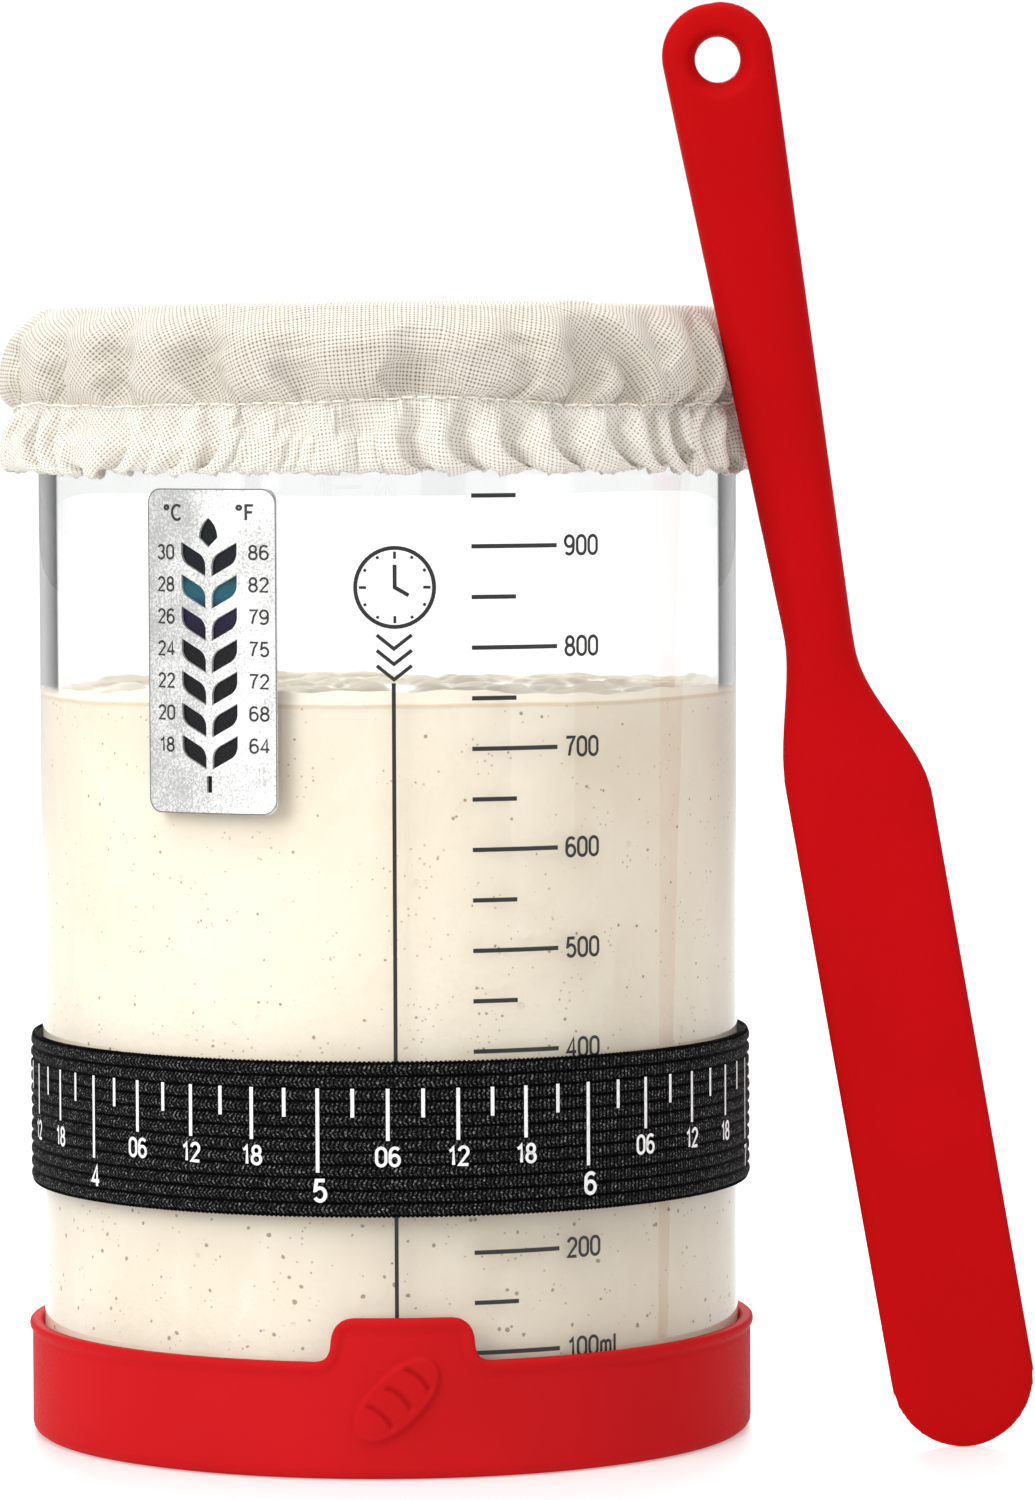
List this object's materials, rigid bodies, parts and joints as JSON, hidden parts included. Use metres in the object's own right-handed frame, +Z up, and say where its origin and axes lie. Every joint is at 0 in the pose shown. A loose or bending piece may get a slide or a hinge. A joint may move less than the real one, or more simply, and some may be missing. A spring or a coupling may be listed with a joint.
{
  "type": "sourdough starter jar",
  "caption": "Straight glass starter jar in a silicone base, with turning day band, thermometer strip, screw lid, gathered linen cover and leaning silicone spatula.",
  "frame": {"origin": "centre of the silicone base's underside, on the jar's axis", "axes": "+Z up along the jar's axis, -Y the front with the pointer tab, +X towards the leaning spatula"},
  "size_m": [0.1457, 0.1081, 0.2034],
  "materials": {
    "base_silicone": "satin moulded silicone",
    "glass": "clear polished",
    "dough": "moist, fine bubbles and bran specks",
    "adhesive": "clear adhesive film",
    "crystals": "black-backed liquid crystal ink",
    "strip_film": "silver sparkle film",
    "band_rubber": "matte",
    "webbing": "ribbed woven elastic",
    "liner_foam": "closed-cell foam",
    "lid_aluminium": "satin spun",
    "linen": "open plain weave, unbleached",
    "elastic": "braided elastic",
    "spatula_silicone": "satin moulded silicone",
    "core_nylon": "glass-filled nylon"
  },
  "bodies": {
    "base": {"silicone_base": "base_silicone"},
    "jar": {"glass_jar": "glass", "starter_dough": "dough", "thermometer_adhesive": "adhesive", "thermometer_crystals": "crystals", "thermometer_face": "strip_film"},
    "band_core": {"band_rubber_core": "band_rubber"},
    "band": {"band_webbing": "webbing"},
    "lid_seal": {"lid_liner": "liner_foam"},
    "lid": {"lid_shell": "lid_aluminium"},
    "cover": {"cover_cloth": "linen", "cover_elastic": "elastic"},
    "spatula": {"spatula_silicone": "spatula_silicone", "spatula_core": "core_nylon"}
  },
  "joints": [
    {"name": "jar_lift", "type": "slide", "parent": "base", "child": "jar", "axis": [0, 0, 1], "range_m": [0, 0.05]},
    {"name": "band_slide", "type": "slide", "parent": "jar", "child": "band_core", "axis": [0, 0, 1], "range_m": [-0.0135, 0.032]},
    {"name": "band_turn", "type": "hinge", "parent": "band_core", "child": "band", "pos_m": [0, 0, 0.047], "axis": [0, 0, 1], "continuous": true},
    {"name": "lid_lift", "type": "slide", "parent": "jar", "child": "lid_seal", "axis": [0, 0, 1], "range_m": [0, 0.06]},
    {"name": "lid_turn", "type": "hinge", "parent": "lid_seal", "child": "lid", "pos_m": [0, 0, 0.16], "axis": [0, 0, 1], "range_deg": [0, 400]},
    {"name": "cover_lift", "type": "slide", "parent": "lid_seal", "child": "cover", "axis": [0, 0, 1], "range_m": [0, 0.06]},
    {"name": "spatula_lift", "type": "slide", "parent": "cover", "child": "spatula", "axis": [0, 0, 1], "range_m": [0, 0.18]}
  ]
}
